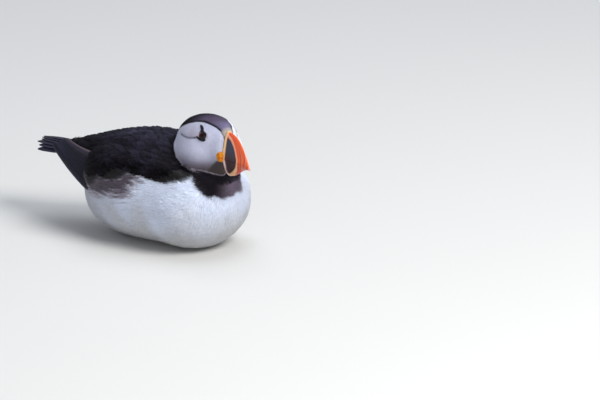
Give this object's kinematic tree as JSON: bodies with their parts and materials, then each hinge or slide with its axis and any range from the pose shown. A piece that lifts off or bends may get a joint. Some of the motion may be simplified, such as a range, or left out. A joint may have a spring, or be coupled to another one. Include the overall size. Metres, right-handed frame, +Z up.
{
  "type": "atlantic puffin",
  "caption": "Life-size still model of an adult Atlantic puffin resting on its belly, head drawn in and turned to its right.",
  "frame": {"origin": "on the floor, in the flat of the belly, under the bird's midline", "axes": "+X forward to the breast, +Y to the bird's left, +Z up"},
  "size_m": [0.2413, 0.108, 0.1162],
  "materials": {
    "face": "soft feathers",
    "black_plumage": "soft feathers",
    "white_plumage": "soft feathers",
    "quills": "smooth vanes",
    "bill_horn": "satin horn",
    "gape_skin": "soft ribbed skin",
    "eye": "wet gloss",
    "eye_horn": "satin horn",
    "leg_skin": "scaled skin"
  },
  "bodies": {
    "root": {"head": "face", "bill_upper": "bill_horn", "bill_lower": "bill_horn", "neck": "black_plumage", "mantle": "black_plumage", "trunk": "white_plumage", "tail": "quills", "wing_left": "black_plumage", "wing_right": "black_plumage", "flight_feathers_left": "quills", "flight_feathers_right": "quills", "leg_left": "leg_skin", "leg_right": "leg_skin", "eye_left": "eye", "eye_right": "eye", "gape_rosette_left": "gape_skin", "gape_rosette_right": "gape_skin", "eye_plate_upper_left": "eye_horn", "eye_plate_upper_right": "eye_horn", "eye_plate_lower_left": "eye_horn", "eye_plate_lower_right": "eye_horn"}
  },
  "joints": []
}
